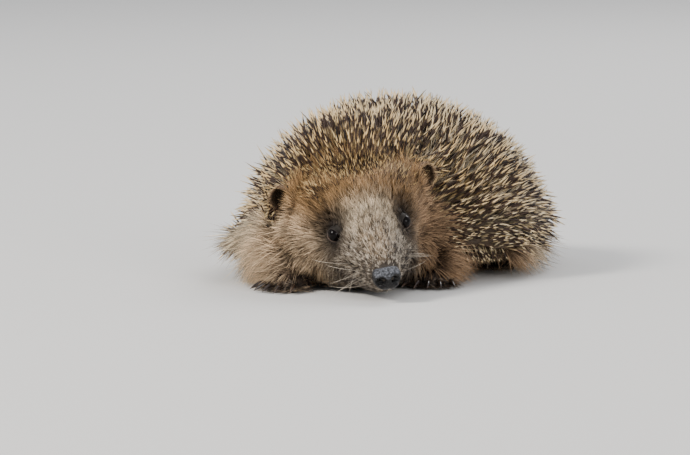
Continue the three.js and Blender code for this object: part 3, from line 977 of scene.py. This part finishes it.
def grow_quills(name, surface, weight, material, tries, spacing, reach, thick, tint_of, parts):
    """Banded spines at even distances; reach gives their length at each root."""
    bed = surface.scatter(tries, weight)
    keep = spread_out(bed[0], spacing)
    bed = [array[keep] for array in bed]
    roots, normals, _ = bed
    count = len(roots)
    length = reach(roots) * uneven(count, 0.86, 1.1)
    splay = 1 + 0.3 * smooth(96, 66, head_measures(roots)[0])
    rise = np.arcsin(np.clip(coat_depth(roots) / length, 0.1, 0.7)) * splay * uneven(count, 0.65, 1.2)
    lie = turned(lie_of_coat(roots, normals), normals, chance.normal(0, 0.3, count))
    rise = surface.cleared(roots, normals, lie, length, rise, 0.5 * coat_depth(roots))
    tint = tint_of(roots) * uneven(count, 0.72, 1.12)[:, None]
    tint *= 1 + np.outer(uneven(count, -0.06, 0.06), (1, 0, -1.4))
    tint[chance.random(count) < 0.1] *= 0.3
    shift = uneven(count, -0.07, 0.05)
    for k in range(parts):
        some = slice(k, None, parts)
        part = [array[some] for array in bed]
        width = thick(part[0]) * uneven(len(part[0]), 0.85, 1.1)
        grow(f"{name}_{k + 1}", part, lie[some], length[some], width, rise[some], SPINE, tint[some],
             material, curl=0.25, shift=shift[some])


def golden(roots):
    """Spines are golden brown at the hairline and cream further back."""
    behind, _, _ = head_measures(roots)
    gold = smooth(98, 58, behind) * smooth(20, 40, roots[:, 2])
    return 1 - np.outer(gold, (0.12, 0.23, 0.42))


def spine_length(roots):
    behind, _, _ = head_measures(roots)
    low = 0.78 + 0.22 * smooth(10, 30, roots[:, 2])
    return (8.5 + 4.5 * smooth(50, 62, behind) + 5.5 * smooth(60, 84, behind)) * low


def spine_width(roots):
    return 0.3 + 0.1 * smooth(48, 66, head_measures(roots)[0])


BRISTLE_LENGTH, BRISTLE_WIDTH = 9.5, 0.17


def grow_spines(surface, material):
    """The spines, and the coarse bristles on the brow where they end."""
    spines = smooth(0.3, 0.55, spiny(surface.centres)) * (1 - bare(surface.centres))
    grow_quills("spines", surface, spines, material, tries=60000, spacing=1.68,
                reach=spine_length, thick=spine_width, tint_of=golden, parts=2)
    behind, aside, up = head_measures(surface.centres)
    brow = smooth(40, 54, behind) * smooth(6, 12, up) * smooth(28, 18, np.abs(aside)) * (1 - spines)
    grow_quills("bristles", surface, brow, material, tries=14000, spacing=0.95,
                reach=lambda roots: np.full(len(roots), BRISTLE_LENGTH),
                thick=lambda roots: np.full(len(roots), BRISTLE_WIDTH),
                tint_of=lambda roots: 0.85 * golden(roots), parts=1)


def near_feet(points, radii):
    """How near points are to the closest foot: 0 at its middle, 1 on an oval round it."""
    away = [np.linalg.norm((points - middle(foot)) / radii, axis=1) for foot in FEET]
    return np.min(away, axis=0)


def hanging(points):
    """1 where the long hair of cheeks, throat and flanks hangs down over the legs."""
    behind, _, _ = head_measures(points)
    return smooth(24, 12, points[:, 2]) * smooth(18, 30, behind)


def fringe(points):
    """1 along the lower edge of both flanks, where the hair falls to the floor."""
    x, y, z = points.T
    return smooth(16, 9, z) * smooth(30, 42, np.abs(x)) * smooth(-32, -18, y)


def hair_length(points):
    """Short on snout, paws and tail and round the eyes, long on the ruff and the flanks."""
    behind, _, up = head_measures(points)
    length = 2.2 + 3.4 * smooth(4, 26, behind) + 6 * smooth(26, 50, behind)
    length += 2 * smooth(-5, -9, up)
    length += 1.5 * smooth(44, 60, behind) + 3 * hanging(points)
    length *= 1 - 0.3 * smooth(38, 54, np.abs(points[:, 0]))
    length += 4 * fringe(points)
    for side, centre in eyes.items():
        length *= 1 - 0.75 * bell(away_from(centre, points), 7)
        before_ear = ear_place(side) + 5 * forward
        length *= 1 - 0.66 * bell(away_from(before_ear, points), 9)
    paw = near_feet(points, (12, 15, 3))
    length = np.where(paw < 1, np.minimum(length, 2 + 7 * paw ** 4), length)
    tail = inside(points, (0, 84, 10), (8, 16, 9))
    return length * (1 - 0.7 * tail)


def bare(points):
    """1 where no hair grows: eyes, nose pad, ear openings and soles."""
    d = points - middle("nose") - 1.3 * forward
    pad = np.linalg.norm(np.stack([d @ left / 5.5, d @ crown / 4.6, d @ forward / 4.9]), axis=0)
    gone = smooth(1.0, 0.9, pad)
    for side, centre in eyes.items():
        gone = np.maximum(gone, smooth(3.3, 3.2, away_from(centre, points)))
        gone = np.maximum(gone, smooth(7.6, 6.6, away_from(ear_place(side), points)))
    sole = smooth(1, 0.9, near_feet(points, (12, 18, 30))) * smooth(2.2, 1.2, points[:, 2])
    return np.maximum(gone, sole)


def hair_way(points, normals):
    """The lie of the fur, which also parts round the eyes and hangs down over the legs."""
    way = lie_of_coat(points, normals)
    flank = smooth(60, 84, head_measures(points)[0])
    way = way + np.outer((1.5 + 1.5 * flank) * hanging(points) + 2 * fringe(points), (0, 0, -1))
    for side in SIDES:
        for centre, reach, force in ((eyes[side], 6.4, 2.6), (ear_place(side), 9, 2.2)):
            parting = force * bell(away_from(centre, points), reach)
            way = way + unit(points - centre) * parting[:, None]
    return along_skin(way, normals)


PEPPER = srgb(52, 44, 40)
SALT = srgb(234, 220, 200)


def hair_colours(points, lock):
    """Each lock's own shade of the markings: some dark, some pale, and white ones on the snout."""
    behind, _, _ = head_measures(points)
    kind = chance.random(lock.max() + 1)[lock]
    shade = np.interp(kind, [0, 0.25, 0.45, 0.7, 1], [0.28, 0.55, 0.95, 1.15, 1.75])
    eye = np.max([bell(away_from(centre, points), 7) for centre in eyes.values()], axis=0)
    shade = (1 + (shade - 1) * (1 - eye)) * uneven(len(points), 0.75, 1.2)
    colour = markings(points) * shade[:, None]
    snout = smooth(37, 18, behind) * (1 - eye)
    salted = (snout * (kind > 0.68) * 0.65)[:, None]
    peppered = (snout * (kind < 0.42) * 0.75)[:, None]
    colour = colour * (1 - salted) + SALT * salted
    return colour * (1 - peppered) + PEPPER * peppered


# The fur by region: the number of hairs, their radius, how far they stray from the lie of the coat,
# the hairs in a lock, and how hard a lock pulls them together.
FUR = {
    "fur_snout": (32000, 0.09, 0.2, 5, 1.0),
    "fur_face": (42000, 0.12, 0.2, 8, 1.0),
    "fur_body": (40000, 0.14, 0.26, 10, 1.0),
    "hair_between_spines": (12000, 0.13, 0.25, 3, 0.2),
}
MOST_IN_PIECE = 19500  # hairs in one piece


def grow_region(name, surface, weight, material):
    """One region's fur, in as many pieces as it needs."""
    total, thick, spread, per_lock, pull = FUR[name]
    bed = surface.scatter(total, weight)
    roots, normals, _ = bed
    length = hair_length(roots) * uneven(total, 0.7, 1.2)
    depth = np.minimum(coat_depth(roots), 6)
    flank = smooth(60, 84, head_measures(roots)[0]) * hanging(roots)
    lift = depth / length + 0.15 * hanging(roots) - 0.3 * flank
    rise = np.arcsin(np.clip(lift, 0.15, 0.7)) * uneven(total, 0.65, 1.25)
    lie = turned(hair_way(roots, normals), normals, chance.normal(0, spread, total))
    lie, lock = in_locks(roots, lie, per_lock, pull, length)
    rise *= uneven(lock.max() + 1, 0.8, 1.2)[lock]
    rise = surface.cleared(roots, normals, lie, length, rise, 0.4 * depth)
    tint = hair_colours(roots, lock)
    pieces = math.ceil(total / MOST_IN_PIECE)
    for k in range(pieces):
        some = slice(k, None, pieces)
        part = [array[some] for array in bed]
        radius = thick * uneven(len(part[0]), 0.8, 1.15)
        grow(f"{name}_{k + 1}", part, lie[some], length[some], radius, rise[some], HAIR, tint[some],
             material)


def grow_fur(surface, material):
    centres = surface.centres
    behind, _, _ = head_measures(centres)
    spines = smooth(0.3, 0.8, spiny(centres))
    furry = (1 - bare(centres)) * (1 - spines)
    snout, body = smooth(30, 26, behind), smooth(62, 66, behind)
    belly = smooth(11, 7, centres[:, 2]) * body
    face = (1 - snout) * (1 - body)
    shoulder = inside(centres, (50, -18, 17), (16, 20, 17))
    grow_region("fur_snout", surface, furry * snout, material)
    grow_region("fur_face", surface, furry * face, material)
    grow_region("fur_body", surface, furry * body * (1 - 0.5 * belly), material)
    grow_region("hair_between_spines", surface, spines * body * (1 + 5 * shoulder), material)


WHISKERS = 13  # on each side
WHISKER_WIDTH = 0.085


def grow_whiskers(surface, material):
    """Stiff hairs that fan out from the sides of the snout."""
    behind, aside, up = head_measures(surface.centres)
    for side, sign in SIDES.items():
        lip = (behind > 5) & (behind < 17) & (aside * sign > 3) & (up < 1) & (up > -5)
        bed = surface.scatter(WHISKERS, lip)
        way = sign * left - 0.25 * forward - 0.4 * crown + chance.normal(0, 0.25, (WHISKERS, 3))
        tint = np.where(chance.random(WHISKERS)[:, None] < 0.5, SALT, PEPPER)
        length, rise = uneven(WHISKERS, 12, 24), uneven(WHISKERS, 0.3, 0.7)
        grow("whiskers_" + side, bed, way, length, WHISKER_WIDTH, rise, WHISKER, tint, material)


# ---- Putting it together ----

skin = build_skin()
unwrap(skin)
skin.data.materials.append(skin_finish())
paint_skin(skin.data)
surface = Surface(skin.data)
eye_gloss, horn, ear_skin, hair = eye_finish(), claw_finish(), ear_finish(), fur_finish()
for side in SIDES:
    build_eye(side, eye_gloss)
    grow_ear_fuzz(side, build_ear(side, ear_skin), hair)
build_nose(nose_finish())
for limb in LIMBS:
    build_claws(limb, horn)
grow_spines(surface, spine_finish())
grow_fur(surface, hair)
grow_whiskers(surface, hair)


# ---- Floor, light and camera ----

# From here on places and sizes are in metres, and powers in watts.
FLOOR_REACH = 4  # from the middle of the floor to its sides


def set_stage():
    """A pale floor and the even light of a studio."""
    shape = bmesh.new()
    bmesh.ops.create_grid(shape, x_segments=1, y_segments=1, size=FLOOR_REACH)
    mesh = bpy.data.meshes.new("floor")
    shape.to_mesh(mesh)
    shape.free()
    floor = into_scene("floor", mesh)
    material, _, shader = finish_of("pale_floor", 0.9)
    shader.inputs["Base Color"].default_value = (0.72, 0.71, 0.69, 1)
    mesh.materials.append(material)
    world = bpy.data.worlds.new("studio")
    world.use_nodes = True
    sky = world.node_tree.nodes["Background"]
    sky.inputs["Color"].default_value = (0.93, 0.95, 1.0, 1)
    sky.inputs["Strength"].default_value = 0.7
    bpy.context.scene.world = world


def area_light(name, place, target, size, power, warmth=(1, 1, 1)):
    """A square lamp that faces its target."""
    light = bpy.data.lights.new(name, "AREA")
    light.size = size
    light.energy = power
    light.color = warmth
    lamp = into_scene(name, light)
    lamp.location = Vector(place)
    lamp.rotation_euler = (Vector(place) - Vector(target)).to_track_quat("Z", "Y").to_euler()


AIM = Vector((16.3, -73.65, 26)) * MM
VIEW = Vector((0.4045, -0.9085, 0.1045)).normalized()  # from the aim towards the camera
CAMERA_AWAY = 1.5


def set_camera():
    """A long lens at the height of the animal's face."""
    lens = bpy.data.cameras.new("camera")
    lens.sensor_width = 36
    lens.lens = 203.5
    lens.clip_start = 0.05
    lens.clip_end = 20
    camera = into_scene("camera", lens)
    camera.location = AIM + VIEW * CAMERA_AWAY
    camera.rotation_euler = VIEW.to_track_quat("Z", "Y").to_euler()
    bpy.context.scene.camera = camera


set_stage()
area_light("key", (-1.0, -1.4, 1.4), (0.01, -0.03, 0.03), size=0.55, power=48, warmth=(1, 0.96, 0.9))
area_light("fill", (1.8, -1.2, 0.7), (0.01, -0.03, 0.03), size=1.0, power=20, warmth=(1, 0.98, 0.95))
area_light("back", (0.2, 1.7, 1.7), (0.01, 0, 0.03), size=1.2, power=28)
set_camera()
